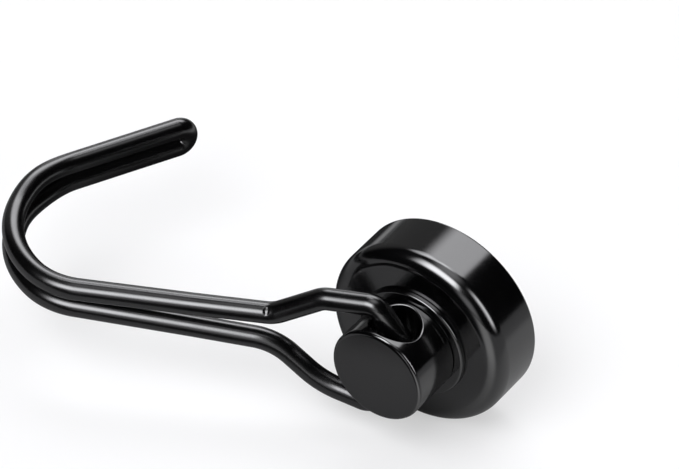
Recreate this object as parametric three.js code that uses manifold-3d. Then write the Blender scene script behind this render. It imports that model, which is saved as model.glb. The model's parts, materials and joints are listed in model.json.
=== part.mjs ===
import * as THREE from 'three';
import { mergeVertices } from 'three/addons/utils/BufferGeometryUtils.js';
import ManifoldModule from 'manifold-3d';

// A magnetic swivel hook: a steel cup with a disc magnet, a knob that turns in the cup,
// and a doubled wire hook that swings in the knob's cross-hole.
// Lengths are millimetres. +Z is up. The magnet's contact face is the plane y = 0 and faces +Y,
// with the origin at its centre. The knob's axis is the Y axis and the knob points to -Y.
// A depth is a distance from the contact face towards the knob, so it is minus y.

// Fits shared by several pieces
const bondGap = 0.03;
const seatGap = 0.03;
const runningClearance = 0.06;
const cutOverrun = 1;

// Steel cup
const cupRadius = 12.5;
const cupWall = 1.84;
const cupWebThickness = 1.75;
const cupShoulderRadius = 2.2;
const cupRimBevel = 0.3;

// Disc magnet and the resin round it
const magnetThickness = 4;
const magnetBevel = 0.3;
const resinWidth = 0.6;
const resinSink = 0.25;

// Screw and washer that hold the knob's stem in the cup
const screwRadius = 1.25;
const screwLength = 3;
const screwTipBevel = 0.25;
const screwHeadRadius = 2.4;
const screwHeadHeight = 1.3;
const screwHeadBevel = 0.2;
const screwSocketRadius = 0.87;
const screwSocketDepth = 0.8;
const screwHeadRoom = 0.3;
const retainerThickness = 0.5;
const retainerMargin = 1.5;
const recessMargin = 0.6;

// Thrust washer under the knob
const thrustThickness = 0.7;
const thrustProud = 1.15;
const thrustEdgeRadius = 0.45;

// Swivel knob
const knobRadius = 6.35;
const knobEdgeRadius = 0.5;
const knobFootBevel = 0.2;
const stemRadius = 2;
const stemBevel = 0.2;
const tappedExtraDepth = 0.2;

// Cross-hole through the knob, and the metal left at the knob's foot and end face beside its mouths
const crossHoleRadius = 3.05;
const mouthFlare = 0.25;
const footLand = 0.25;
const faceLand = 0.45;

// Wire hook, measured in its own plane from the cross-hole's axis
const wireRadius = 1.32;
const wirePairGap = 0.18;
const wireKnobGap = 0.06;
const wireEndOvershoot = 1.2;
const shoulderReach = 9.2;
const shoulderBendRadius = 3;
const neckReach = 15.1;
const neckOffset = 2.7;
const neckHalfSpacing = 2.2;
const neckBendRadius = 5;
const bendStartReach = 39.7;
const firstBendRadius = 8.6;
const secondBendRadius = 13.6;
const tipLength = 14.6;

// Angles in degrees
const knobTurnAngle = 3.3;
const hookSwingAngle = 24.8;
const wireEndSlopeAngle = 51;
const legSlopeAngle = 10.2;
const firstBendAngle = 42;
const secondBendAngle = 99.3;

// How finely round forms are divided
const turnedSegments = 64;
const edgeSegments = 4;
const wireSides = 12;
const degreesPerWireStep = 12;

// Sizes that follow from the ones above
const pocketRadius = cupRadius - cupWall;
const resinOuterRadius = pocketRadius - bondGap;
const resinInnerRadius = resinOuterRadius - resinWidth;
const magnetRadius = resinInnerRadius - bondGap;
const stemHoleRadius = stemRadius + runningClearance;
const retainerRadius = stemRadius + retainerMargin;
const recessRadius = Math.max(retainerRadius, screwHeadRadius) + recessMargin;
const thrustRadius = knobRadius + thrustProud;
const wirePairHalfSpacing = wireRadius + wirePairGap / 2;
const mouthRadius = crossHoleRadius + mouthFlare;
const crossHoleInset = faceLand + mouthRadius;
const knobLength = footLand + mouthRadius + crossHoleInset;
const flareStartHeight = knobRadius - mouthFlare;
const mouthBendRadius = mouthFlare + wireKnobGap + wireRadius;

// Depths from the contact face to the knob's end face
const pocketFloorDepth = magnetThickness + bondGap;
const screwHeadDepth = pocketFloorDepth + screwHeadRoom;
const screwSeatDepth = screwHeadDepth + screwHeadHeight;
const retainerDepth = screwSeatDepth + seatGap;
const stemEndDepth = retainerDepth + retainerThickness + seatGap;
const recessFloorDepth = stemEndDepth + runningClearance;
const cupFrontDepth = recessFloorDepth + cupWebThickness;
const thrustDepth = cupFrontDepth + seatGap;
const knobFootDepth = thrustDepth + thrustThickness + runningClearance;
const knobFaceDepth = knobFootDepth + knobLength;
const crossHoleDepth = knobFaceDepth - crossHoleInset;
const tappedEndDepth = screwSeatDepth + screwLength + tappedExtraDepth;

const wasm = await ManifoldModule();
wasm.setup();

const coatedSteel = { color: 0x2b2b2e, roughness: 0.22, metalness: 0.6 };
const nickelPlate = { color: 0xc9c8c2, roughness: 0.25, metalness: 1 };
const zincPlate = { color: 0xb4b8bc, roughness: 0.4, metalness: 1 };
const setResin = { color: 0x1d1c1a, roughness: 0.6, metalness: 0 };

// Points of a quarter arc round a centre, from one angle to another
function arcPoints(centreRadius, centreDepth, radius, fromDegrees, toDegrees) {
  const points = [];
  for (let i = 0; i <= edgeSegments; i += 1) {
    const angle = THREE.MathUtils.degToRad(fromDegrees + ((toDegrees - fromDegrees) * i) / edgeSegments);
    points.push([centreRadius + radius * Math.cos(angle), centreDepth + radius * Math.sin(angle)]);
  }
  return points;
}

// Turned body from a profile of [radius, depth] points, listed so that its faces point out
function turned(profile, segments = turnedSegments) {
  const points = profile.map(([radius, depth]) => new THREE.Vector2(radius, -depth));
  return new THREE.LatheGeometry(points.reverse(), segments);
}

// Turned ring, whose profile closes on itself
function turnedRing(profile) {
  return turned([...profile, profile[0]]);
}

// The closed solid that a geometry encloses, for cutting
function toSolid(geometry) {
  const bare = geometry.clone();
  bare.deleteAttribute('normal');
  bare.deleteAttribute('uv');
  const merged = mergeVertices(bare);
  const corners = merged.index.array;
  const triangles = [];
  for (let i = 0; i < corners.length; i += 3) {
    const [a, b, c] = [corners[i], corners[i + 1], corners[i + 2]];
    if (a !== b && b !== c && c !== a) {
      triangles.push(a, b, c);
    }
  }
  const mesh = new wasm.Mesh({
    numProp: 3,
    vertProperties: new Float32Array(merged.attributes.position.array),
    triVerts: new Uint32Array(triangles),
  });
  return new wasm.Manifold(mesh);
}

// Geometry of a cut solid
function toGeometry(solid) {
  const mesh = solid.getMesh();
  const geometry = new THREE.BufferGeometry();
  geometry.setAttribute('position', new THREE.BufferAttribute(mesh.vertProperties, 3));
  geometry.setIndex(new THREE.BufferAttribute(mesh.triVerts, 1));
  geometry.computeVertexNormals();
  return geometry;
}

function namedMesh(name, geometry, finish) {
  const mesh = new THREE.Mesh(geometry, new THREE.MeshStandardMaterial(finish));
  mesh.name = name;
  return mesh;
}

function steelCup() {
  const shoulder = arcPoints(
    cupRadius - cupShoulderRadius,
    cupFrontDepth - cupShoulderRadius,
    cupShoulderRadius,
    0,
    90,
  );
  return turnedRing([
    [pocketRadius, 0],
    [cupRadius - cupRimBevel, 0],
    [cupRadius, cupRimBevel],
    ...shoulder,
    [stemHoleRadius, cupFrontDepth],
    [stemHoleRadius, recessFloorDepth],
    [recessRadius, recessFloorDepth],
    [recessRadius, pocketFloorDepth],
    [pocketRadius, pocketFloorDepth],
  ]);
}

function discMagnet() {
  return turned([
    [0, 0],
    [magnetRadius - magnetBevel, 0],
    [magnetRadius, magnetBevel],
    [magnetRadius, magnetThickness - magnetBevel],
    [magnetRadius - magnetBevel, magnetThickness],
    [0, magnetThickness],
  ]);
}

function resinRing() {
  return turnedRing([
    [resinInnerRadius, resinSink],
    [resinOuterRadius, resinSink],
    [resinOuterRadius, magnetThickness],
    [resinInnerRadius, magnetThickness],
  ]);
}

function thrustWasher() {
  const frontDepth = thrustDepth + thrustThickness;
  const edge = arcPoints(
    thrustRadius - thrustEdgeRadius,
    frontDepth - thrustEdgeRadius,
    thrustEdgeRadius,
    0,
    90,
  );
  return turnedRing([
    [stemHoleRadius, thrustDepth],
    [thrustRadius, thrustDepth],
    ...edge,
    [stemHoleRadius, frontDepth],
  ]);
}

// Waist-shaped cutter along Z that bores the cross-hole and flares both of its mouths
function crossHoleCutter() {
  const outerMouth = arcPoints(mouthRadius, flareStartHeight, mouthFlare, 180, 90);
  const innerMouth = outerMouth.map(([radius, height]) => [radius, -height]).reverse();
  const cutterEnd = knobRadius + cutOverrun;
  const cutter = turned([
    [0, -cutterEnd],
    [mouthRadius, -cutterEnd],
    ...innerMouth,
    ...outerMouth,
    [mouthRadius, cutterEnd],
    [0, cutterEnd],
  ]);
  cutter.rotateX(-Math.PI / 2);
  cutter.translate(0, -crossHoleDepth, 0);
  return cutter;
}

function swivelKnob() {
  const tappedRadius = screwRadius + seatGap;
  const edge = arcPoints(
    knobRadius - knobEdgeRadius,
    knobFaceDepth - knobEdgeRadius,
    knobEdgeRadius,
    0,
    90,
  );
  const body = turned([
    [0, tappedEndDepth],
    [tappedRadius, tappedEndDepth],
    [tappedRadius, stemEndDepth],
    [stemRadius - stemBevel, stemEndDepth],
    [stemRadius, stemEndDepth + stemBevel],
    [stemRadius, knobFootDepth],
    [knobRadius - knobFootBevel, knobFootDepth],
    [knobRadius, knobFootDepth + knobFootBevel],
    ...edge,
    [0, knobFaceDepth],
  ]);
  return toGeometry(toSolid(body).subtract(toSolid(crossHoleCutter())));
}

function retainingWasher() {
  const boreRadius = screwRadius + seatGap;
  return turnedRing([
    [boreRadius, retainerDepth],
    [retainerRadius, retainerDepth],
    [retainerRadius, retainerDepth + retainerThickness],
    [boreRadius, retainerDepth + retainerThickness],
  ]);
}

function retainingScrew() {
  const body = turned([
    [0, screwHeadDepth],
    [screwHeadRadius - screwHeadBevel, screwHeadDepth],
    [screwHeadRadius, screwHeadDepth + screwHeadBevel],
    [screwHeadRadius, screwSeatDepth],
    [screwRadius, screwSeatDepth],
    [screwRadius, screwSeatDepth + screwLength - screwTipBevel],
    [screwRadius - screwTipBevel, screwSeatDepth + screwLength],
    [0, screwSeatDepth + screwLength],
  ]);
  const socketFloor = screwHeadDepth + screwSocketDepth;
  const hexSides = 6;
  const socket = turned([
    [0, screwHeadDepth - cutOverrun],
    [screwSocketRadius, screwHeadDepth - cutOverrun],
    [screwSocketRadius, socketFloor],
    [0, socketFloor],
  ], hexSides);
  return toGeometry(toSolid(body).subtract(toSolid(socket)));
}

// A path that is swept exactly at its stations, each with a point and a tangent
class StationPath extends THREE.Curve {
  constructor(stations) {
    super();
    this.stations = stations;
  }

  stationAt(share) {
    return this.stations[Math.round(share * (this.stations.length - 1))];
  }

  getPoint(share, target = new THREE.Vector3()) {
    return target.copy(this.stationAt(share).point);
  }

  getPointAt(share, target) {
    return this.getPoint(share, target);
  }

  getTangentAt(share, target = new THREE.Vector3()) {
    return target.copy(this.stationAt(share).tangent);
  }
}

// Stations of an arc that starts at a point, heads along a tangent and turns towards a normal
function arcStations(start, tangent, normal, radius, degrees) {
  const stations = [];
  const centre = start.clone().addScaledVector(normal, radius);
  const steps = Math.max(2, Math.ceil(degrees / degreesPerWireStep));
  for (let i = 0; i <= steps; i += 1) {
    const angle = THREE.MathUtils.degToRad((degrees * i) / steps);
    const point = centre.clone();
    point.addScaledVector(normal, -radius * Math.cos(angle));
    point.addScaledVector(tangent, radius * Math.sin(angle));
    const heading = tangent.clone().multiplyScalar(Math.cos(angle));
    heading.addScaledVector(normal, Math.sin(angle));
    stations.push({ point, tangent: heading });
  }
  return stations;
}

// Stations that round the corner between two straight runs
function cornerStations(before, corner, after, radius) {
  const arriving = corner.clone().sub(before).normalize();
  const leaving = after.clone().sub(corner).normalize();
  const turn = arriving.angleTo(leaving);
  const start = corner.clone().addScaledVector(arriving, -radius * Math.tan(turn / 2));
  const normal = leaving.clone().addScaledVector(arriving, -leaving.dot(arriving)).normalize();
  return arcStations(start, arriving, normal, radius, THREE.MathUtils.radToDeg(turn));
}

// The upper wire of the pair, from its end in the cross-hole to the fold at the tip.
// The hook lies along -X and curls towards +Y; the pair is spaced along Z.
function upperWireStations() {
  const up = new THREE.Vector3(0, 0, 1);
  const neck = new THREE.Vector3(-neckReach, neckOffset, neckHalfSpacing);
  const legward = new THREE.Vector3(-neckReach, neckOffset, 0).normalize();
  // The wire rises on a slant from its end, past the cross-hole's axis, and bends over the lip of the mouth
  const endSlope = THREE.MathUtils.degToRad(wireEndSlopeAngle);
  const rising = legward.clone().multiplyScalar(Math.cos(endSlope)).addScaledVector(up, Math.sin(endSlope));
  const lipward = legward.clone().multiplyScalar(Math.sin(endSlope)).addScaledVector(up, -Math.cos(endSlope));
  const mouthStart = legward.clone().multiplyScalar(mouthRadius).addScaledVector(up, flareStartHeight);
  mouthStart.addScaledVector(lipward, -mouthBendRadius);
  const endRun = (mouthStart.dot(legward) + wireEndOvershoot) / Math.cos(endSlope);
  const end = mouthStart.clone().addScaledVector(rising, -endRun);
  const mouthBendAngle = wireEndSlopeAngle + legSlopeAngle;
  const mouthBend = arcStations(mouthStart, rising, lipward, mouthBendRadius, mouthBendAngle);
  const mouthEnd = mouthBend.at(-1);
  // The leg slopes down to its shoulder
  const slopeRun = shoulderReach - mouthEnd.point.dot(legward);
  const slope = THREE.MathUtils.degToRad(legSlopeAngle);
  const shoulder = mouthEnd.point.clone().addScaledVector(mouthEnd.tangent, slopeRun / Math.cos(slope));
  const bendStart = new THREE.Vector3(-bendStartReach, neckOffset, wirePairHalfSpacing);
  const outward = new THREE.Vector3(-1, 0, 0);
  const curl = new THREE.Vector3(0, 1, 0);
  const firstBend = arcStations(bendStart, outward, curl, firstBendRadius, firstBendAngle);
  const firstEnd = firstBend.at(-1);
  const inward = new THREE.Vector3(0, 0, -1).cross(firstEnd.tangent);
  const secondBend = arcStations(firstEnd.point, firstEnd.tangent, inward, secondBendRadius, secondBendAngle);
  const secondEnd = secondBend.at(-1);
  const foldStart = secondEnd.point.clone().addScaledVector(secondEnd.tangent, tipLength);
  return [
    { point: end, tangent: rising },
    ...mouthBend,
    ...cornerStations(mouthEnd.point, shoulder, neck, shoulderBendRadius),
    ...cornerStations(shoulder, neck, bendStart, neckBendRadius),
    ...firstBend,
    ...secondBend.slice(1),
    { point: foldStart, tangent: secondEnd.tangent },
  ];
}

// The lower wire is the upper one seen in a mirror and followed backwards
function mirroredStation(station) {
  const point = station.point.clone();
  point.z = -point.z;
  const tangent = station.tangent.clone().negate();
  tangent.z = -tangent.z;
  return { point, tangent };
}

function wireHook() {
  const upper = upperWireStations();
  const lower = upper.map(mirroredStation).reverse();
  const foldStart = upper.at(-1);
  const down = new THREE.Vector3(0, 0, -1);
  const fold = arcStations(foldStart.point, foldStart.tangent, down, wirePairHalfSpacing, 180);
  const path = new StationPath([...upper, ...fold.slice(1, -1), ...lower]);
  const outline = [];
  for (let i = 0; i < wireSides; i += 1) {
    const angle = (2 * Math.PI * i) / wireSides;
    outline.push(new THREE.Vector2(wireRadius * Math.cos(angle), wireRadius * Math.sin(angle)));
  }
  return new THREE.ExtrudeGeometry(new THREE.Shape(outline), {
    steps: path.stations.length - 1,
    extrudePath: path,
  });
}

// The knob and what turns with it
const knob = new THREE.Group();
knob.rotation.y = THREE.MathUtils.degToRad(knobTurnAngle);
knob.add(namedMesh('swivel_knob', swivelKnob(), coatedSteel));
knob.add(namedMesh('retaining_washer', retainingWasher(), zincPlate));
knob.add(namedMesh('retaining_screw', retainingScrew(), zincPlate));

// The hook swings in the knob's cross-hole
const hookPivot = new THREE.Group();
hookPivot.position.y = -crossHoleDepth;
hookPivot.rotation.z = THREE.MathUtils.degToRad(hookSwingAngle);
hookPivot.add(namedMesh('wire_hook', wireHook(), coatedSteel));
knob.add(hookPivot);

const magneticHook = new THREE.Group();
magneticHook.add(namedMesh('steel_cup', steelCup(), coatedSteel));
magneticHook.add(namedMesh('disc_magnet', discMagnet(), nickelPlate));
magneticHook.add(namedMesh('resin_ring', resinRing(), setResin));
magneticHook.add(namedMesh('thrust_washer', thrustWasher(), coatedSteel));
magneticHook.add(knob);

export default magneticHook;
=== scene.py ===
"""Finishes and fine surfaces of a magnetic swivel hook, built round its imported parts.

Lengths are in metres. A depth is a distance from the magnet's contact face towards the knob, so it is
minus y.
"""

import json
import math
from typing import NamedTuple

import bpy
from mathutils import Matrix, Vector


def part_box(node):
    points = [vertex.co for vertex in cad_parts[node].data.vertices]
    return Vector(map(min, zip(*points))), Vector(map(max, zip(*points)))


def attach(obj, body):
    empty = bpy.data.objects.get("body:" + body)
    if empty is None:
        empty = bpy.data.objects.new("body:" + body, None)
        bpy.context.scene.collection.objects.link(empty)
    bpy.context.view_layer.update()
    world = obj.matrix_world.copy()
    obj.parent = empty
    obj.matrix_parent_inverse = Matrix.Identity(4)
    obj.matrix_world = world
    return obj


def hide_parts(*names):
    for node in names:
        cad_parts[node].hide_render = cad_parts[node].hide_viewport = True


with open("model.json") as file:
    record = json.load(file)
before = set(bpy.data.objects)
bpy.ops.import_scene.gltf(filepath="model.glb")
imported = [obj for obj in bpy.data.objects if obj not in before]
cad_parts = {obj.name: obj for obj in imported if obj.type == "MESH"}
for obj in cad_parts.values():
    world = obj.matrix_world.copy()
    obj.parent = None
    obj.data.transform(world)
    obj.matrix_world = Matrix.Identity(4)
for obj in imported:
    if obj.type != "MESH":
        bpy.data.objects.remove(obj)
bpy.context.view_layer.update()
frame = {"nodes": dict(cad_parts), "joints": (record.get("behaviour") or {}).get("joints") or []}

MM = 0.001
UP = Vector((0, 0, 1))
WHITE = (1, 1, 1, 1)

# Places that come from the frame
SWING = next(joint for joint in frame["joints"] if joint["name"] == "hook_swing")
PIVOT = Vector(SWING["pos_m"])
SWING_AXIS = Vector(SWING["axis"]).normalized()
KNOB_TURN = math.atan2(SWING_AXIS.x, SWING_AXIS.z)
CROSS_HOLE_DEPTH = -PIVOT.y
CUP_LOW, CUP_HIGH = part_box("steel_cup")
CUP_RADIUS = CUP_HIGH.x
CUP_FRONT = -CUP_LOW.y
MAGNET_LOW, MAGNET_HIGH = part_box("disc_magnet")
MAGNET_RADIUS = MAGNET_HIGH.x
MAGNET_THICKNESS = -MAGNET_LOW.y
RESIN_LOW, RESIN_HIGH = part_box("resin_ring")
RESIN_OUTER_RADIUS = RESIN_HIGH.x
RESIN_SINK = -RESIN_HIGH.y
RESIN_END = -RESIN_LOW.y
WASHER_LOW, WASHER_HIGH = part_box("thrust_washer")
WASHER_RADIUS = WASHER_HIGH.x
WASHER_BACK = -WASHER_HIGH.y
WASHER_FRONT = -WASHER_LOW.y
KNOB_LOW, KNOB_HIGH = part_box("swivel_knob")
KNOB_FACE = -KNOB_LOW.y
STEM_END = -KNOB_HIGH.y

# Fits
BOND_GAP = 0.03 * MM
RUNNING_CLEARANCE = 0.06 * MM

# Steel cup
CUP_WALL = 1.84 * MM
CUP_WEB = 1.75 * MM
CUP_SHOULDER = 2.2 * MM
CUP_RIM_ROUND = 0.4 * MM
CUP_HOLE_ROUND = 0.12 * MM
CUP_POCKET_ROUND = 0.2 * MM
RECESS_RADIUS = 4.1 * MM

# Magnet and resin
MAGNET_ROUND = 0.3 * MM
RESIN_WIDTH = 0.6 * MM
RESIN_ROUND = 0.12 * MM

# Thrust washer
WASHER_ROUND = 0.3 * MM
WASHER_HOLE_ROUND = 0.1 * MM

# Swivel knob
KNOB_RADIUS = 6.35 * MM
KNOB_EDGE = 0.5 * MM
KNOB_FOOT_ROUND = 0.14 * MM
STEM_RADIUS = 2 * MM
STEM_ROUND = 0.2 * MM
STEM_ROOT_ROUND = 0.05 * MM
TAPPED_RADIUS = 1.28 * MM
TAPPED_END = 8.83 * MM
TAPPED_ROUND = 0.1 * MM
CROSS_HOLE_RADIUS = 3.05 * MM
RIM_ROUND = 0.25 * MM
KNOB_FOOT = WASHER_FRONT + RUNNING_CLEARANCE

# Wire hook: reaches from the cross-hole's axis in the hook's own plane, bend radii and spacings
WIRE_RADIUS = 1.38 * MM
WIRE_PAIR_GAP = 0.02 * MM
WIRE_KNOB_GAP = 0.06 * MM
WIRE_END_ROUND = 0.2 * MM
WIRE_END_OVERSHOOT = 1.2 * MM
NECK_OFFSET = 2.7 * MM
NECK_HALF_SPACING = 2.17 * MM
KNEE_REACH = 25 * MM
KNEE_HALF_SPACING = 1.78 * MM
KNEE_BEND = 120 * MM
BEND_START_REACH = 39.45 * MM
FIRST_BEND = 8.8 * MM
SECOND_BEND = 13.6 * MM
SECOND_BEND_PARTING = 0.35 * MM
TIP_LENGTH = 14.5 * MM
SWING_REST_DEG = 24.8
WIRE_END_SLOPE_DEG = 51
LEG_SLOPE_DEG = 10.2
FIRST_BEND_DEG = 42
SECOND_BEND_DEG = 99.3

# Each leg's shoulder and neck: their reaches, and the radii of their bends
UPPER_LEG = {"shoulder": 9.2 * MM, "shoulder_bend": 3 * MM, "neck": 15.1 * MM, "neck_bend": 3.2 * MM}
LOWER_LEG = {"shoulder": 8.95 * MM, "shoulder_bend": 10 * MM, "neck": 14.9 * MM, "neck_bend": 8 * MM}

# The oval mark that bending pressed into the upper wire: its reach, the way it faces and its size,
# and the stretch of the wire that is divided finely for it
DENT_REACH = 15.9 * MM
DENT_FACING = (0, -0.64, 0.77)
DENT_HALF_LENGTH = 0.34 * MM
DENT_HALF_WIDTH = 0.5 * MM
DENT_DEPTH = 0.1 * MM
DENT_RUN = 1.3 * MM
DENT_STEPS = 11

# How finely surfaces are divided, and how near points fall together
CHORD_ERROR = 4e-7
MERGE_DISTANCE = 1e-7
TURNED_STEPS = 240
WIRE_SIDES = 96
WIRE_STEP_DEG = 3
RUN_STEP = 0.75 * MM

# Sizes that follow
POCKET_RADIUS = CUP_RADIUS - CUP_WALL
POCKET_FLOOR = MAGNET_THICKNESS + BOND_GAP
STEM_HOLE_RADIUS = STEM_RADIUS + RUNNING_CLEARANCE
RECESS_FLOOR = CUP_FRONT - CUP_WEB
MOUTH_RADIUS = CROSS_HOLE_RADIUS + RIM_ROUND
PAIR_HALF_SPACING = WIRE_RADIUS + WIRE_PAIR_GAP / 2
MOUTH_BEND = RIM_ROUND + WIRE_KNOB_GAP + WIRE_RADIUS
LEGWARD = Vector((-UPPER_LEG["neck"], NECK_OFFSET, 0)).normalized()

# Finishes: a noise has a scale per metre, a detail and a roughness, and a value runs from its first
# setting to its second over the middle of the noise's range; relief is a height in metres
NOISE_SPAN = (0.3, 0.7)
TURNED_COAT = {
    "colours": ((0.0006, 0.0006, 0.0007), (0.0012, 0.0012, 0.0014)),
    "colour_noise": (160, 3, 0.5),
    "roughness": (0.11, 0.15),
    "roughness_noise": (320, 4, 0.6),
    "relief": 1.2e-6,
    "relief_noise": (750, 2, 0.4),
    "shader": {"IOR": 2},
}
WIRE_COAT = {**TURNED_COAT, "roughness": (0.2, 0.25), "relief_noise": (900, 2, 0.4)}
NICKEL_PLATE = {
    "colours": ((0.56, 0.55, 0.52), (0.68, 0.67, 0.64)),
    "colour_noise": (220, 3, 0.5),
    "roughness": (0.16, 0.28),
    "roughness_noise": (2600, 5, 0.65),
    "relief": 3e-6,
    "relief_noise": (2600, 5, 0.65),
    "shader": {"Metallic": 1},
}
ZINC_PLATE = {
    **NICKEL_PLATE,
    "colours": ((0.5, 0.53, 0.56), (0.62, 0.64, 0.67)),
    "roughness": (0.3, 0.45),
    "roughness_noise": (1800, 5, 0.65),
    "relief_noise": (1800, 5, 0.65),
}
SET_RESIN = {
    "colours": ((0.011, 0.0105, 0.01), (0.022, 0.021, 0.019)),
    "colour_noise": (300, 2, 0.5),
    "roughness": (0.45, 0.62),
    "roughness_noise": (900, 3, 0.55),
    "relief": 2e-5,
    "relief_noise": (900, 3, 0.55),
    "shader": {},
}

# Studio. Bearings run from the -Y axis towards +X. The room is dark, with a paler wall round one
# direction, and the cosines of the angles from that direction bound the wall's soft edge
LAMP_DISTANCE = 1.2
LAMP_TINT = (0.99, 0.99, 1.02, 1)
WALL_CENTRE_DEG = (228, 14)
WALL_COSINES = (0.72, 0.95)
ROOM_LEVEL = 0.005
WALL_LEVEL = 0.14


class Lamp(NamedTuple):
    """A soft rectangular lamp, by its angles in degrees as seen from the object.

    The centre is a bearing and a height, and the spread a width and a height. The fades are shares of
    its size at the low-bearing, high-bearing, lower and upper edges. A lamp can light only some pieces,
    or go without some.
    """

    name: str
    centre: tuple
    spread: tuple
    radiance: float
    fades: tuple = (0.4, 0.4, 0.4, 0.4)
    roll: float = 0
    only: tuple = ()
    without: tuple = ()


# The cup, knob and hook get partly separate lamps, because their streaks come from different sides
LAMPS = (
    Lamp("front_low_softbox", (24, 17), (36, 44), 0.75),
    Lamp("ceiling_softbox", (90, 82), (56, 44), 1.1),
    Lamp("front_top_softbox", (-7, 55), (57, 44), 8.4, (0.45, 0.2, 0.38, 0.4), -8,
         without=("hook", "knob")),
    Lamp("knob_front_softbox", (-20, 55), (32, 44), 8.4, (0.4, 0.3, 0.38, 0.4), -8, only=("knob",)),
    Lamp("right_softbox", (85, 30), (30, 56), 4.5, (0.6, 0.4, 0.3, 0.35), without=("hook",)),
    Lamp("back_softbox", (186, 50), (46, 34), 2.5, (0.1, 0.3, 0.2, 0.2), without=("hook",)),
    Lamp("back_left_softbox", (230, 58), (34, 24), 2.6, (0.35, 0.35, 0.35, 0.35), without=("hook",)),
    Lamp("back_low_softbox", (204, 14), (26, 34), 2, (0.35, 0.5, 0.3, 0.3), without=("hook",)),
    Lamp("top_softbox", (196, 70), (50, 20), 4.6, without=("hook",)),
    Lamp("hook_front_softbox", (-2, 41), (50, 46), 6.2, (0.4, 0.2, 0.35, 0.4), only=("hook",)),
    Lamp("hook_back_softbox", (207, 43), (58, 36), 3.4, (0.35, 0.3, 0.45, 0.4), only=("hook",)),
    Lamp("hook_low_softbox", (218, 8), (32, 36), 0.75, only=("hook",)),
    Lamp("hook_top_softbox", (215, 66), (32, 18), 3.6, only=("hook",)),
)

# Floor: its paint, the light that it adds for the camera, and the distances over which that light
# runs out to plain white
FLOOR_RADIUS = 4
FLOOR_SIDES = 96
FLOOR_TONE = 0.38
FLOOR_GLOW = 0.52
FLOOR_FADE = (0.15, 0.6)


class Spot(NamedTuple):
    """A round place on the floor: its middle, the radii of its soft edge, and a share or a level."""

    middle: tuple
    edge: tuple
    strength: float


class Wedge(NamedTuple):
    """A place that runs out over the floor.

    It has the bearings of its two soft edges, the distances of its soft start, and a share or a level.
    """

    start_deg: tuple
    end_deg: tuple
    reach: tuple
    strength: float


# The floor as the gloss shows it: painted shade, where the shaded places keep shares of the paint, and
# painted glow, where the bright ones add light that only reflections show
GLOSS_TONE = 0.21
PAINTED_SHADE_SPOT = Spot((-38 * MM, 28 * MM, 0), (28 * MM, 52 * MM), 0.12)
PAINTED_SHADE_WEDGE = Wedge((-29, -23), (8, 20), (33 * MM, 43 * MM), 0.05)
PAINTED_GLOW_SPOTS = (
    Spot((30 * MM, 16 * MM, 0), (18 * MM, 48 * MM), 0.2),
    Spot((-115 * MM, 95 * MM, 0), (30 * MM, 66 * MM), 0.4),
    Spot((12 * MM, 85 * MM, 0), (30 * MM, 75 * MM), 0.4),
)
PAINTED_GLOW_WEDGE = Wedge((12, 26), (36, 54), (12 * MM, 45 * MM), 0.75)

# The photograph's camera: millimetres, degrees and pixels
CAMERA_AZIMUTH_DEG = 34.84
CAMERA_ELEVATION_DEG = 39.81
CAMERA_ROLL_DEG = -0.54
CAMERA_DISTANCE = 536.6 * MM
CAMERA_OFFSET_RIGHT = 13.44 * MM
CAMERA_OFFSET_UP = -8.48 * MM
CAMERA_NEAR_LIMIT = 10 * MM
FOCAL_LENGTH_PX = 4400
IMAGE_WIDTH_PX = 679
SENSOR_WIDTH_MM = 36


class Skin:
    """Points that carry their own normals, merged where surfaces meet, and the faces between them."""

    def __init__(self):
        self.points = []
        self.normals = []
        self.faces = []
        self.index = {}

    def add(self, point, normal):
        """The number of a point, which is new only where no other lies within the merge distance."""
        key = tuple(round(value / MERGE_DISTANCE) for value in point)
        if key not in self.index:
            self.index[key] = len(self.points)
            self.points.append(Vector(point))
            self.normals.append(Vector(normal).normalized())
        return self.index[key]

    def face(self, corners):
        """A face that looks the way its points' normals do; corners that fell together count once."""
        kept = list(dict.fromkeys(corners))
        if len(kept) < 3:
            return
        first, second, third = (self.points[i] for i in kept[:3])
        facing = (second - first).cross(third - first)
        outward = sum((self.normals[i] for i in kept), Vector())
        self.faces.append(kept if facing.dot(outward) > 0 else kept[::-1])

    def grid(self, rows):
        """Faces between neighbouring rows of (point, normal) pairs."""
        numbered = [[self.add(*sample) for sample in row] for row in rows]
        for lower, upper in zip(numbered, numbered[1:]):
            for i in range(len(lower) - 1):
                self.face([lower[i], lower[i + 1], upper[i + 1], upper[i]])

    def turn(self, rotation, pivot):
        """Turns the points and normals about the origin, which then comes to lie at the pivot."""
        self.points = [rotation @ point + pivot for point in self.points]
        self.normals = [rotation @ normal for normal in self.normals]

    def piece(self, name, body, slot, material, *replaced):
        """The mesh object, riding on its body in place of the nodes that it stands for."""
        mesh = bpy.data.meshes.new(name)
        mesh.from_pydata(self.points, [], self.faces)
        mesh.polygons.foreach_set("use_smooth", [True] * len(mesh.polygons))
        mesh.normals_split_custom_set_from_vertices(self.normals)
        mesh.materials.append(material)
        made = bpy.data.objects.new(name, mesh)
        bpy.context.scene.collection.objects.link(made)
        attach(made, body)
        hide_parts(*replaced)
        return made


def spread(start, end, count):
    """Evenly spaced values from start to end, both included."""
    return [start + (end - start) * i / count for i in range(count + 1)]


def arc_steps(angle, radius):
    """How many chords keep an arc within the chord error."""
    return max(4, math.ceil(abs(angle) * math.sqrt(radius / (8 * CHORD_ERROR))))


def edge_normal(start, end):
    """Outward normal of a profile's edge, in (radius, depth)."""
    along = (Vector(end[:2]) - Vector(start[:2])).normalized()
    return Vector((along.y, -along.x))


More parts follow.
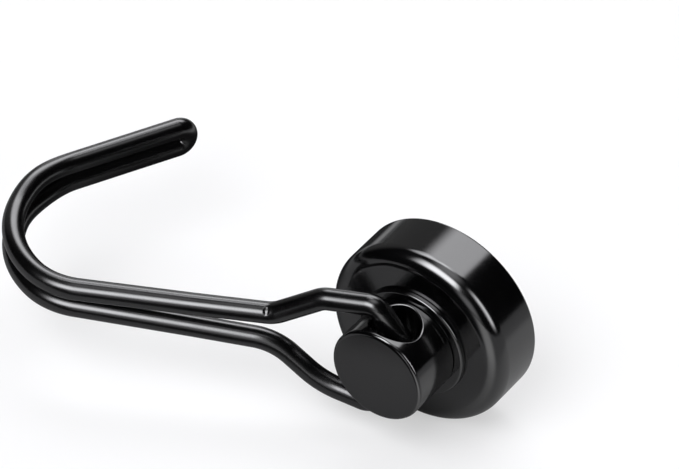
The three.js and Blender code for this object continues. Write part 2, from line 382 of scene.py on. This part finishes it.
def corner_samples(before, corner, after):
    """Samples of the round between two edges that meet at a (radius, depth, round) corner."""
    point = Vector(corner[:2])
    arriving = (point - Vector(before[:2])).normalized()
    leaving = (Vector(after[:2]) - point).normalized()
    first = Vector((arriving.y, -arriving.x))
    turn = math.atan2(arriving.cross(leaving), arriving.dot(leaving))
    bulge = math.copysign(1, turn)
    start = point - arriving * corner[2] * math.tan(abs(turn) / 2)
    centre = start - first * corner[2] * bulge
    samples = []
    for angle in spread(0, turn, arc_steps(turn, corner[2])):
        normal = Vector((
            first.x * math.cos(angle) - first.y * math.sin(angle),
            first.x * math.sin(angle) + first.y * math.cos(angle),
        ))
        samples.append((centre + normal * corner[2] * bulge, normal))
    return samples


def ring_profile(corners):
    """Samples round a closed profile of (radius, depth, round) corners."""
    samples = []
    for i, corner in enumerate(corners):
        after = corners[(i + 1) % len(corners)]
        samples += corner_samples(corners[i - 1], corner, after)
    return samples + samples[:1]


def axis_profile(corners):
    """Samples of a profile that starts and ends on the axis."""
    samples = [(Vector(corners[0][:2]), edge_normal(corners[0], corners[1]))]
    for before, corner, after in zip(corners, corners[1:], corners[2:]):
        samples += corner_samples(before, corner, after)
    samples.append((Vector(corners[-1][:2]), edge_normal(corners[-2], corners[-1])))
    return samples


def turned_sample(sample, angle):
    """The profile's sample turned about the Y axis, as a point and a normal."""
    (radius, depth), (out, ahead) = sample
    point = Vector((radius * math.cos(angle), -depth, radius * math.sin(angle)))
    normal = Vector((out * math.cos(angle), -ahead, out * math.sin(angle)))
    return point, normal


def turned_rows(samples, angles):
    """One row for each sample of the profile, running round the Y axis."""
    return [[turned_sample(sample, angle) for angle in angles] for sample in samples]


def full_turn(steps):
    """Angles of a whole turn, with the first place once more at the end."""
    return spread(0, 2 * math.pi, steps)


def base_piece(name, slot, material, replaced, samples):
    """A piece of the base body, turned from a profile's samples."""
    skin = Skin()
    skin.grid(turned_rows(samples, full_turn(TURNED_STEPS)))
    return skin.piece(name, "base", slot, material, replaced)


def steel_cup(material):
    """The cup: a rounded front shoulder, a pocket for the magnet and a recess for the fasteners."""
    return base_piece("cup_shell", "coated_steel", material, "steel_cup", ring_profile([
        (POCKET_RADIUS, 0, CUP_HOLE_ROUND),
        (CUP_RADIUS, 0, CUP_RIM_ROUND),
        (CUP_RADIUS, CUP_FRONT, CUP_SHOULDER),
        (STEM_HOLE_RADIUS, CUP_FRONT, CUP_HOLE_ROUND),
        (STEM_HOLE_RADIUS, RECESS_FLOOR, CUP_HOLE_ROUND),
        (RECESS_RADIUS, RECESS_FLOOR, CUP_POCKET_ROUND),
        (RECESS_RADIUS, POCKET_FLOOR, CUP_HOLE_ROUND),
        (POCKET_RADIUS, POCKET_FLOOR, CUP_POCKET_ROUND),
    ]))


def disc_magnet(material):
    """The plain magnet disc, whose outer face is the contact face."""
    return base_piece("magnet_disc", "nickel_plate", material, "disc_magnet", axis_profile([
        (0, 0, 0),
        (MAGNET_RADIUS, 0, MAGNET_ROUND),
        (MAGNET_RADIUS, MAGNET_THICKNESS, MAGNET_ROUND),
        (0, MAGNET_THICKNESS, 0),
    ]))


def resin_ring(material):
    """The resin between magnet and cup, whose surface sags into a shallow trough."""
    inner = RESIN_OUTER_RADIUS - RESIN_WIDTH
    middle = RESIN_OUTER_RADIUS - RESIN_WIDTH / 2
    return base_piece("resin_bead", "set_resin", material, "resin_ring", ring_profile([
        (inner, RESIN_SINK, RESIN_ROUND / 2),
        (middle, RESIN_SINK + RESIN_ROUND, RESIN_ROUND),
        (RESIN_OUTER_RADIUS, RESIN_SINK, RESIN_ROUND / 2),
        (RESIN_OUTER_RADIUS, RESIN_END, RESIN_ROUND),
        (inner, RESIN_END, RESIN_ROUND),
    ]))


def thrust_washer(material):
    """The ring that the knob's foot turns on, with a well rounded outer edge."""
    return base_piece("thrust_ring", "coated_steel", material, "thrust_washer", ring_profile([
        (STEM_HOLE_RADIUS, WASHER_BACK, WASHER_HOLE_ROUND),
        (WASHER_RADIUS, WASHER_BACK, WASHER_HOLE_ROUND),
        (WASHER_RADIUS, WASHER_FRONT, WASHER_ROUND),
        (STEM_HOLE_RADIUS, WASHER_FRONT, WASHER_HOLE_ROUND),
    ]))


class KnobWall:
    """The knob's side, from its foot to the rim of its end face, and the cross-hole through it.

    A patch of the side holds each mouth of the hole. The upper patch lies between the angles low and
    high about the knob, and its points move from its edge to the mouth by the blend shares.
    """

    start = KNOB_FOOT + KNOB_FOOT_ROUND
    edge_start = KNOB_FACE - KNOB_EDGE
    straight = edge_start - start
    length = straight + KNOB_EDGE * math.pi / 2
    half_width = math.radians(50)
    low = math.pi / 2 - half_width
    high = math.pi / 2 + half_width
    across_steps = 56
    straight_steps = 18
    edge_steps = 10
    blend_shares = (0, 0.04, 0.09, 0.16, 0.25, 0.36, 0.5, 0.66, 0.83, 1)
    round_steps = 8
    bore_steps = 24

    def sample(self, run):
        """The (radius, depth) sample at a distance along the side's profile."""
        if run <= self.straight:
            return Vector((KNOB_RADIUS, self.start + run)), Vector((1, 0))
        angle = (run - self.straight) / KNOB_EDGE
        normal = Vector((math.cos(angle), math.sin(angle)))
        centre = Vector((KNOB_RADIUS - KNOB_EDGE, self.edge_start))
        return centre + normal * KNOB_EDGE, normal

    def runs(self):
        """Distances along the side's profile at which it is divided."""
        edge = spread(self.straight, self.length, self.edge_steps)
        return spread(0, self.straight, self.straight_steps) + edge[1:]

    def rim(self, angle):
        """The ball that rounds the mouth: its centre, and its normals at the side and at the bore.

        Also gives where it touches the side, as an angle about the knob and a run along the profile.
        """
        across = MOUTH_RADIUS * math.cos(angle)
        depth = CROSS_HOLE_DEPTH + MOUTH_RADIUS * math.sin(angle)
        beyond = max(0, depth - self.edge_start)
        inner_edge = KNOB_EDGE - RIM_ROUND
        reach = KNOB_RADIUS - KNOB_EDGE + math.sqrt(inner_edge**2 - beyond**2)
        height = math.sqrt(reach**2 - across**2)
        tilt = math.asin(beyond / inner_edge)
        about = math.atan2(height, across)
        _, side_normal = turned_sample((Vector((0, 0)), Vector((math.cos(tilt), math.sin(tilt)))), about)
        bore_normal = Vector((-math.cos(angle), math.sin(angle), 0))
        run = depth - self.start if beyond == 0 else self.straight + KNOB_EDGE * tilt
        return Vector((across, -depth, height)), side_normal, bore_normal, about, run

    def patch_edge(self):
        """Points round the patch that holds the mouth, as (angle about the knob, run)."""
        abouts = spread(self.low, self.high, self.across_steps)
        runs = self.runs()
        bottom = [(about, runs[0]) for about in abouts]
        right = [(self.high, run) for run in runs]
        top = [(about, runs[-1]) for about in reversed(abouts)]
        left = [(self.low, run) for run in reversed(runs)]
        return bottom[:-1] + right[:-1] + top[:-1] + left

    def bearings(self):
        """Angles about the knob: of the upper patch, one side, the lower patch and the other side."""
        whole = 2 * math.pi
        upper = spread(self.low, self.high, self.across_steps)
        left = spread(self.high, whole - self.high, self.across_steps)
        lower = [whole - angle for angle in reversed(upper)]
        right = spread(whole - self.low, whole + self.low, self.across_steps)
        return upper, left, lower, right

    def mouth_rows(self):
        """Rows of samples from the patch's edge to the mouth's round, over it and into the bore."""
        centre_run = CROSS_HOLE_DEPTH - self.start
        blended = [[] for _ in self.blend_shares]
        rounded = [[] for _ in range(self.round_steps + 1)]
        bored = [[] for _ in range(self.bore_steps + 1)]
        for about, run in self.patch_edge():
            angle = math.atan2(run - centre_run, KNOB_RADIUS * (math.pi / 2 - about))
            centre, side_normal, bore_normal, mouth_about, mouth_run = self.rim(angle)
            for row, share in zip(blended, self.blend_shares):
                at_about = mouth_about + (about - mouth_about) * share
                at_run = mouth_run + (run - mouth_run) * share
                row.append(turned_sample(self.sample(at_run), at_about))
            for i, row in enumerate(rounded):
                normal = side_normal.slerp(bore_normal, i / self.round_steps)
                row.append((centre + normal * RIM_ROUND, normal))
            for i, row in enumerate(bored):
                point = centre + bore_normal * RIM_ROUND
                point.z *= 1 - i / self.bore_steps
                row.append((point, bore_normal))
        return blended[::-1] + rounded[1:] + bored[1:]


def mirrored_rows(rows):
    """Rows seen in the mirror of the plane z = 0."""
    flip = Matrix.Diagonal((1, 1, -1))
    return [[(flip @ point, flip @ normal) for point, normal in row] for row in rows]


def knob_foot_profile():
    """The knob's hidden half: the tapped hole in the stem, the stem and the foot out to the side."""
    return axis_profile([
        (0, TAPPED_END, 0),
        (TAPPED_RADIUS, TAPPED_END, TAPPED_ROUND),
        (TAPPED_RADIUS, STEM_END, TAPPED_ROUND),
        (STEM_RADIUS, STEM_END, STEM_ROUND),
        (STEM_RADIUS, KNOB_FOOT, STEM_ROOT_ROUND),
        (KNOB_RADIUS, KNOB_FOOT, KNOB_FOOT_ROUND),
        (KNOB_RADIUS, KNOB_FACE, 0),
    ])[:-1]


def swivel_knob(material):
    """The knob with its stem, tapped hole and cross-hole, turned as the frame has it."""
    wall = KnobWall()
    upper, left, lower, right = wall.bearings()
    around = upper + left[1:] + lower[1:] + right[1:]
    mouth = wall.mouth_rows()
    side = [wall.sample(run) for run in wall.runs()]
    face = [side[-1], (Vector((0, KNOB_FACE)), Vector((0, 1)))]
    skin = Skin()
    skin.grid(mouth)
    skin.grid(mirrored_rows(mouth))
    skin.grid(turned_rows(side, left))
    skin.grid(turned_rows(side, right))
    skin.grid(turned_rows(knob_foot_profile(), around))
    skin.grid(turned_rows(face, around))
    skin.turn(Matrix.Rotation(KNOB_TURN, 3, "Y"), Vector((0, 0, 0)))
    return skin.piece("knob_shell", "knob", "coated_steel", material, "swivel_knob")


def arc_stations(start, tangent, normal, radius, degrees):
    """Stations, each a point and a heading, of an arc that turns from a tangent towards a normal."""
    centre = start + normal * radius
    stations = []
    for angle in spread(0, math.radians(degrees), max(2, math.ceil(degrees / WIRE_STEP_DEG))):
        point = centre - normal * radius * math.cos(angle) + tangent * radius * math.sin(angle)
        heading = tangent * math.cos(angle) + normal * math.sin(angle)
        stations.append((point, heading))
    return stations


def corner_stations(before, corner, after, radius):
    """Stations of the bend that rounds the corner between two straight runs."""
    arriving = (corner - before).normalized()
    leaving = (after - corner).normalized()
    turn = arriving.angle(leaving)
    start = corner - arriving * radius * math.tan(turn / 2)
    normal = (leaving - arriving * leaving.dot(arriving)).normalized()
    return arc_stations(start, arriving, normal, radius, math.degrees(turn))


def parted(stations):
    """The stations of a bend whose wires part a little in its second half and close again at its end."""
    last = len(stations) - 1
    points = []
    for i, (point, _) in enumerate(stations):
        share = max(0, 2 * i / last - 1)
        points.append(point + UP * (SECOND_BEND_PARTING * math.sin(math.pi * share) ** 2))
    headings = [stations[0][1]]
    headings += [(after - before).normalized() for before, after in zip(points, points[2:])]
    headings.append(stations[-1][1])
    return list(zip(points, headings))


def neck_and_knee(leg):
    """The corners at both ends of the straight run after the neck."""
    neck = Vector((-leg["neck"], NECK_OFFSET, NECK_HALF_SPACING))
    return neck, Vector((-KNEE_REACH, NECK_OFFSET, KNEE_HALF_SPACING))


def neck_stations(shoulder, leg):
    """The neck's bend and the start of the run after it, in short steps for the pressed mark."""
    bend = corner_stations(shoulder, *neck_and_knee(leg), leg["neck_bend"])
    start, heading = bend[-1]
    return bend + [(start + heading * run, heading) for run in spread(0, DENT_RUN, DENT_STEPS)[1:]]


def press_dent(skin, start, end):
    """Presses the small oval mark into the wire's side and tilts the normals with it."""
    along = (end - start).normalized()
    facing = Vector(DENT_FACING)
    facing = (facing - along * facing.dot(along)).normalized()
    across = along.cross(facing)
    middle = start + along * (DENT_REACH + start.x) / -along.x + facing * WIRE_RADIUS
    for i, point in enumerate(skin.points):
        offset = point - middle
        if offset.length > WIRE_RADIUS:
            continue
        run, turn = offset.dot(along), offset.dot(across)
        out = (run / DENT_HALF_LENGTH) ** 2 + (turn / DENT_HALF_WIDTH) ** 2
        sunk = DENT_DEPTH * math.exp(-out**2)
        tilt = along * run / DENT_HALF_LENGTH**2 + across * turn / DENT_HALF_WIDTH**2
        skin.points[i] = point - skin.normals[i] * sunk
        skin.normals[i] = (skin.normals[i] - tilt * 4 * out * sunk).normalized()


def mouth_stations():
    """The wire's end in the cross-hole and its bend over the mouth's lip, which both legs share."""
    slope = math.radians(WIRE_END_SLOPE_DEG)
    rising = LEGWARD * math.cos(slope) + UP * math.sin(slope)
    lipward = LEGWARD * math.sin(slope) - UP * math.cos(slope)
    lip_centre = LEGWARD * MOUTH_RADIUS + UP * (KNOB_RADIUS - RIM_ROUND)
    start = lip_centre - lipward * MOUTH_BEND
    end_run = (start.dot(LEGWARD) + WIRE_END_OVERSHOOT) / math.cos(slope)
    bend = arc_stations(start, rising, lipward, MOUTH_BEND, WIRE_END_SLOPE_DEG + LEG_SLOPE_DEG)
    return [(start - rising * end_run, rising), *bend]


def hook_bend_stations(start):
    """The hook's two bends and its straight tip, from the end of the straight run to the fold."""
    first_bend = arc_stations(start, Vector((-1, 0, 0)), Vector((0, 1, 0)), FIRST_BEND, FIRST_BEND_DEG)
    first_end, first_heading = first_bend[-1]
    inward = first_heading.cross(UP)
    second_bend = arc_stations(first_end, first_heading, inward, SECOND_BEND, SECOND_BEND_DEG)
    second_end, tip_heading = second_bend[-1]
    tip = (second_end + tip_heading * TIP_LENGTH, tip_heading)
    return [*first_bend, *parted(second_bend)[1:], tip]


def upper_wire_stations(leg):
    """The upper wire, from its end in the cross-hole to the fold, in the hook's own frame.

    The hook lies along -X and curls towards +Y; the pair is spaced along Z.
    """
    mouth = mouth_stations()
    mouth_end, leg_heading = mouth[-1]
    leg_run = (leg["shoulder"] - mouth_end.dot(LEGWARD)) / math.cos(math.radians(LEG_SLOPE_DEG))
    shoulder = mouth_end + leg_heading * leg_run
    neck, knee = neck_and_knee(leg)
    bend_start = Vector((-BEND_START_REACH, NECK_OFFSET, PAIR_HALF_SPACING))
    return [
        *mouth,
        *corner_stations(mouth_end, shoulder, neck, leg["shoulder_bend"]),
        *neck_stations(shoulder, leg),
        *corner_stations(neck, knee, bend_start, KNEE_BEND),
        *hook_bend_stations(bend_start),
    ]


def mirrored_station(station):
    """The same place on the lower wire, which is followed backwards."""
    (x, y, z), heading = station
    return Vector((x, y, -z)), Vector((-heading.x, -heading.y, heading.z))


def whole_wire_stations():
    """Both wires and the fold between them, with long straight runs divided."""
    upper = upper_wire_stations(UPPER_LEG)
    fold_start, heading = upper[-1]
    fold = arc_stations(fold_start, heading, -UP, PAIR_HALF_SPACING, 180)
    lower = [mirrored_station(station) for station in reversed(upper_wire_stations(LOWER_LEG))]
    marks = upper + fold[1:-1] + lower
    stations = [marks[0]]
    for (point, heading), (next_point, next_heading) in zip(marks, marks[1:]):
        count = max(1, round((next_point - point).length / RUN_STEP))
        for share in spread(0, 1, count)[1:]:
            stations.append((point.lerp(next_point, share), heading.slerp(next_heading, share)))
    return stations


def wire_ring(point, heading, side, radius, lift):
    """One ring of samples round the wire; lift tilts the normals from sideways to along the heading."""
    across = heading.cross(side)
    ring = []
    for angle in full_turn(WIRE_SIDES):
        out = side * math.cos(angle) + across * math.sin(angle)
        ring.append((point + out * radius, out * math.cos(lift) + heading * math.sin(lift)))
    return ring


def wire_end_rings(point, heading, side, direction):
    """The rounded, flat-cut end of the wire, from its middle to its side."""
    rings = [wire_ring(point, heading, side, 0, direction * math.pi / 2)]
    for lift in spread(math.pi / 2, 0, arc_steps(math.pi / 2, WIRE_END_ROUND)):
        back = WIRE_END_ROUND * (1 - math.sin(lift))
        radius = WIRE_RADIUS - WIRE_END_ROUND * (1 - math.cos(lift))
        rings.append(wire_ring(point - heading * direction * back, heading, side, radius, direction * lift))
    return rings


def wire_hook(material):
    """The doubled wire, swung and turned as the frame has it."""
    stations = whole_wire_stations()
    side = Vector((0, 1, 0)) - stations[0][1] * stations[0][1].y
    side.normalize()
    rows = wire_end_rings(*stations[0], side, -1)
    for point, heading in stations[1:-1]:
        side = (side - heading * side.dot(heading)).normalized()
        rows.append(wire_ring(point, heading, side, WIRE_RADIUS, 0))
    rows += reversed(wire_end_rings(*stations[-1], side, 1))
    skin = Skin()
    skin.grid(rows)
    press_dent(skin, *neck_and_knee(UPPER_LEG))
    swing = Matrix.Rotation(math.radians(SWING_REST_DEG), 3, "Z")
    skin.turn(Matrix.Rotation(KNOB_TURN, 3, "Y") @ swing, PIVOT)
    return skin.piece("wire_form", "hook", "coated_steel", material, "wire_hook")


def node(tree, kind, **inputs):
    """A shader node whose named inputs are set, or linked where the value is a socket."""
    made = tree.nodes.new(kind)
    for name, value in inputs.items():
        socket = made.inputs[name.replace("_", " ")]
        if isinstance(value, bpy.types.NodeSocket):
            tree.links.new(value, socket)
        else:
            socket.default_value = value
    return made


def maths(tree, operation, *operands):
    """The result of a maths node on values or sockets."""
    made = tree.nodes.new("ShaderNodeMath")
    made.operation = operation
    for socket, value in zip(made.inputs, operands):
        if isinstance(value, bpy.types.NodeSocket):
            tree.links.new(value, socket)
        else:
            socket.default_value = value
    return made.outputs["Value"]


def eased(tree, value, start, end, low, high, course="SMOOTHSTEP"):
    """A value that runs from low to high between two readings of another.

    It runs smoothly unless another course is named.
    """
    made = node(tree, "ShaderNodeMapRange", Value=value, From_Min=start, From_Max=end)
    made.inputs["To Min"].default_value = low
    made.inputs["To Max"].default_value = high
    made.interpolation_type = course
    return made.outputs["Result"]


def distance_from(tree, place, middle):
    """How far a place is from a fixed one."""
    made = node(tree, "ShaderNodeVectorMath", Vector=place)
    made.operation = "DISTANCE"
    made.inputs[1].default_value = middle
    return made.outputs["Value"]


def mixed(tree, share, first, second):
    """The surface or light that goes from the first to the second with the share."""
    made = node(tree, "ShaderNodeMixShader", Fac=share)
    tree.links.new(first, made.inputs[1])
    tree.links.new(second, made.inputs[2])
    return made.outputs["Shader"]


def new_material(name):
    """An empty node material, its output node and the coordinates of the object's own surface."""
    material = bpy.data.materials.new(name)
    material.use_nodes = True
    tree = material.node_tree
    tree.nodes.clear()
    output = tree.nodes.new("ShaderNodeOutputMaterial")
    place = tree.nodes.new("ShaderNodeTexCoord").outputs["Object"]
    return material, tree, output, place


def noise(tree, place, settings):
    """A noise over the surface, by its scale per metre, detail and roughness."""
    scale, detail, roughness = settings
    made = node(tree, "ShaderNodeTexNoise", Vector=place, Scale=scale, Detail=detail, Roughness=roughness)
    return made.outputs["Fac"]


def tinted(tree, factor, low, high):
    """A colour that runs from one to the other over the noise's usual range."""
    ramp = node(tree, "ShaderNodeValToRGB", Fac=factor)
    for stop, position, colour in zip(ramp.color_ramp.elements, NOISE_SPAN, (low, high)):
        stop.position = position
        stop.color = (*colour, 1)
    return ramp.outputs["Color"]


def finish(name, look):
    """A material whose colour, roughness and relief each wander over the surface with a noise."""
    material, tree, output, place = new_material(name)
    colour = tinted(tree, noise(tree, place, look["colour_noise"]), *look["colours"])
    haze = noise(tree, place, look["roughness_noise"])
    roughness = eased(tree, haze, *NOISE_SPAN, *look["roughness"], "LINEAR")
    height = noise(tree, place, look["relief_noise"])
    bump = node(tree, "ShaderNodeBump", Height=height, Distance=look["relief"], Strength=1)
    shader = node(tree, "ShaderNodeBsdfPrincipled", Base_Color=colour, Roughness=roughness,
                  Normal=bump.outputs["Normal"], **look["shader"])
    tree.links.new(shader.outputs["BSDF"], output.inputs["Surface"])
    return material


def dress_hidden_fasteners(material):
    """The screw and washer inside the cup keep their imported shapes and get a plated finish."""
    for name in ("retaining_screw", "retaining_washer"):
        hidden = frame["nodes"][name]
        hidden.data.materials.clear()
        hidden.data.materials.append(material)


def direction(azimuth_deg, elevation_deg):
    """Unit vector towards a place in the studio; azimuth 0 is towards -Y and 90 towards +X."""
    azimuth, elevation = math.radians(azimuth_deg), math.radians(elevation_deg)
    level = math.cos(elevation)
    return Vector((math.sin(azimuth) * level, -math.cos(azimuth) * level, math.sin(elevation)))


def fade_lamp(data, fades):
    """Fades the lamp over shares of its size: from its low-bearing, high-bearing, lower and upper edges."""
    data.use_nodes = True
    tree = data.node_tree
    tree.nodes.clear()
    place = tree.nodes.new("ShaderNodeNewGeometry").outputs["Parametric"]
    split = node(tree, "ShaderNodeSeparateXYZ", Vector=place)
    before, beyond, lower, upper = fades
    level = 1
    for axis, start, end in (("X", before, beyond), ("Y", lower, upper)):
        along = split.outputs[axis]
        level = maths(tree, "MULTIPLY", level, eased(tree, along, 0, start, 0, 1))
        level = maths(tree, "MULTIPLY", level, eased(tree, along, 1 - end, 1, 1, 0))
    glow = node(tree, "ShaderNodeEmission", Color=LAMP_TINT, Strength=level)
    output = tree.nodes.new("ShaderNodeOutputLight")
    tree.links.new(glow.outputs["Emission"], output.inputs["Surface"])


def softbox(lamp):
    """The lamp's light, facing the object."""
    data = bpy.data.lights.new(lamp.name, "AREA")
    data.shape = "RECTANGLE"
    data.size = 2 * LAMP_DISTANCE * math.tan(math.radians(lamp.spread[0] / 2))
    data.size_y = 2 * LAMP_DISTANCE * math.tan(math.radians(lamp.spread[1] / 2))
    data.energy = lamp.radiance * math.pi * data.size * data.size_y
    fade_lamp(data, lamp.fades)
    made = bpy.data.objects.new(lamp.name, data)
    towards = direction(*lamp.centre)
    made.location = towards * LAMP_DISTANCE
    made.rotation_mode = "QUATERNION"
    roll = Matrix.Rotation(math.radians(lamp.roll), 3, "Z").to_quaternion()
    made.rotation_quaternion = towards.to_track_quat("Z", "Y") @ roll
    bpy.context.scene.collection.objects.link(made)
    return made


def limit_lamp(light, pieces, state):
    """Lets a light reach only the pieces, with INCLUDE, or everything but the pieces, with EXCLUDE."""
    receivers = bpy.data.collections.new(light.name + "_receivers")
    for piece in pieces:
        receivers.objects.link(piece)
    for member in receivers.collection_objects:
        member.light_linking.link_state = state
    light.light_linking.receiver_collection = receivers


def light_studio(pieces):
    """All the lamps, some of which light only the named pieces or pass them by."""
    for lamp in LAMPS:
        light = softbox(lamp)
        if lamp.only:
            limit_lamp(light, [pieces[name] for name in lamp.only], "INCLUDE")
        if lamp.without:
            limit_lamp(light, [pieces[name] for name in lamp.without], "EXCLUDE")


def studio_world():
    """A dark room with a paler wall low behind the object's left; the camera sees plain white."""
    world = bpy.data.worlds.new("studio_room")
    bpy.context.scene.world = world
    world.use_nodes = True
    tree = world.node_tree
    tree.nodes.clear()
    output = tree.nodes.new("ShaderNodeOutputWorld")
    towards = tree.nodes.new("ShaderNodeTexCoord").outputs["Generated"]
    wall = node(tree, "ShaderNodeVectorMath", Vector=towards)
    wall.operation = "DOT_PRODUCT"
    wall.inputs[1].default_value = direction(*WALL_CENTRE_DEG)
    level = eased(tree, wall.outputs["Value"], WALL_COSINES[0], WALL_COSINES[1], ROOM_LEVEL, WALL_LEVEL)
    room = node(tree, "ShaderNodeBackground", Strength=level)
    room.inputs["Color"].default_value = WHITE
    white = node(tree, "ShaderNodeBackground", Strength=1)
    white.inputs["Color"].default_value = WHITE
    rays = tree.nodes.new("ShaderNodeLightPath")
    seen = rays.outputs["Is Camera Ray"]
    shown = mixed(tree, seen, room.outputs["Background"], white.outputs["Background"])
    tree.links.new(shown, output.inputs["Surface"])


def soft_spot(tree, place, spot):
    """One inside a round spot on the floor and nothing outside it."""
    return eased(tree, distance_from(tree, place, spot.middle), *spot.edge, 1, 0)


def soft_wedge(tree, place, wedge):
    """One inside a wedge of the floor that runs out from the object between two bearings."""
    split = node(tree, "ShaderNodeSeparateXYZ", Vector=place)
    bearing = maths(tree, "ARCTAN2", split.outputs["X"], maths(tree, "MULTIPLY", split.outputs["Y"], -1))
    inside = eased(tree, bearing, *map(math.radians, wedge.start_deg), 0, 1)
    inside = maths(tree, "MULTIPLY", inside, eased(tree, bearing, *map(math.radians, wedge.end_deg), 1, 0))
    distance = distance_from(tree, place, (0, 0, 0))
    return maths(tree, "MULTIPLY", inside, eased(tree, distance, *wedge.reach, 0, 1))


def floor_tone(tree, place, in_gloss):
    """The floor's paint: even for the camera, and darker in the gloss, most of all in two places of painted
    shade.
    """
    spot = soft_spot(tree, place, PAINTED_SHADE_SPOT)
    wedge = soft_wedge(tree, place, PAINTED_SHADE_WEDGE)
    seen = GLOSS_TONE
    # Painted shade: the gloss shows the floor darker in a round spot and a wedge
    for shade, share in ((spot, PAINTED_SHADE_SPOT.strength), (wedge, PAINTED_SHADE_WEDGE.strength)):
        seen = maths(tree, "MULTIPLY", maths(tree, "MULTIPLY_ADD", shade, share - 1, 1), seen)
    change = maths(tree, "SUBTRACT", seen, FLOOR_TONE)
    return maths(tree, "MULTIPLY_ADD", change, in_gloss, FLOOR_TONE)


def floor_glow(tree, place, rays):
    """Light that the floor adds: towards plain white for the camera, and painted glow in bright places that
    only the gloss shows.
    """
    # Painted glow: bright places on the floor that only reflections show, standing in for light
    painted_glow = maths(tree, "MULTIPLY", soft_wedge(tree, place, PAINTED_GLOW_WEDGE), PAINTED_GLOW_WEDGE.strength)
    for spot in PAINTED_GLOW_SPOTS:
        painted_glow = maths(tree, "MULTIPLY_ADD", soft_spot(tree, place, spot), spot.strength, painted_glow)
    seen = maths(tree, "MULTIPLY", rays.outputs["Is Glossy Ray"], painted_glow)
    plain = eased(tree, distance_from(tree, place, (0, 0, 0)), *FLOOR_FADE, FLOOR_GLOW, 1)
    return maths(tree, "MULTIPLY_ADD", rays.outputs["Is Camera Ray"], plain, seen)


def floor_material():
    """Pale floor that reaches white where it is lit, keeps the object's shadow and is clear from below."""
    material, tree, output, place = new_material("pale_floor")
    rays = tree.nodes.new("ShaderNodeLightPath")
    tone = floor_tone(tree, place, rays.outputs["Is Glossy Ray"])
    paint = node(tree, "ShaderNodeBsdfDiffuse", Color=tone)
    glow = node(tree, "ShaderNodeEmission", Strength=floor_glow(tree, place, rays))
    glow.inputs["Color"].default_value = WHITE
    both = tree.nodes.new("ShaderNodeAddShader")
    tree.links.new(paint.outputs["BSDF"], both.inputs[0])
    tree.links.new(glow.outputs["Emission"], both.inputs[1])
    below = tree.nodes.new("ShaderNodeNewGeometry").outputs["Backfacing"]
    clear = tree.nodes.new("ShaderNodeBsdfTransparent")
    sides = mixed(tree, below, both.outputs["Shader"], clear.outputs["BSDF"])
    tree.links.new(sides, output.inputs["Surface"])
    return material


def pale_floor():
    """A large round floor that the cup's side rests on."""
    edge = [(math.cos(angle), math.sin(angle)) for angle in full_turn(FLOOR_SIDES)[:-1]]
    points = [(FLOOR_RADIUS * x, FLOOR_RADIUS * y, CUP_LOW.z) for x, y in edge]
    mesh = bpy.data.meshes.new("floor")
    mesh.from_pydata(points, [], [tuple(range(FLOOR_SIDES))])
    mesh.materials.append(floor_material())
    floor = bpy.data.objects.new("floor", mesh)
    bpy.context.scene.collection.objects.link(floor)


def photo_camera():
    """The photograph's viewing angle, with a slight roll and no lens shift."""
    back = direction(CAMERA_AZIMUTH_DEG, CAMERA_ELEVATION_DEG)
    azimuth = math.radians(CAMERA_AZIMUTH_DEG)
    level = Vector((math.cos(azimuth), math.sin(azimuth), 0))
    roll = Matrix.Rotation(math.radians(CAMERA_ROLL_DEG), 3, back)
    right = roll @ level
    up = back.cross(right)
    data = bpy.data.cameras.new("camera")
    data.sensor_width = SENSOR_WIDTH_MM
    data.lens = FOCAL_LENGTH_PX * SENSOR_WIDTH_MM / IMAGE_WIDTH_PX
    data.clip_start = CAMERA_NEAR_LIMIT
    camera = bpy.data.objects.new("camera", data)
    camera.location = back * CAMERA_DISTANCE - right * CAMERA_OFFSET_RIGHT - up * CAMERA_OFFSET_UP
    camera.rotation_mode = "QUATERNION"
    camera.rotation_quaternion = Matrix((right, up, back)).transposed().to_quaternion()
    bpy.context.scene.collection.objects.link(camera)
    bpy.context.scene.camera = camera


photo_camera()
turned_coat = finish("gloss_black_turned", TURNED_COAT)
wire_coat = finish("gloss_black_wire", WIRE_COAT)
nickel = finish("bright_nickel", NICKEL_PLATE)
zinc = finish("zinc_plating", ZINC_PLATE)
resin = finish("dark_set_resin", SET_RESIN)
steel_cup(turned_coat)
disc_magnet(nickel)
resin_ring(resin)
thrust_washer(turned_coat)
knob = swivel_knob(turned_coat)
hook = wire_hook(wire_coat)
dress_hidden_fasteners(zinc)
pale_floor()
light_studio({"knob": knob, "hook": hook})
studio_world()
bpy.context.scene.view_settings.view_transform = "Standard"
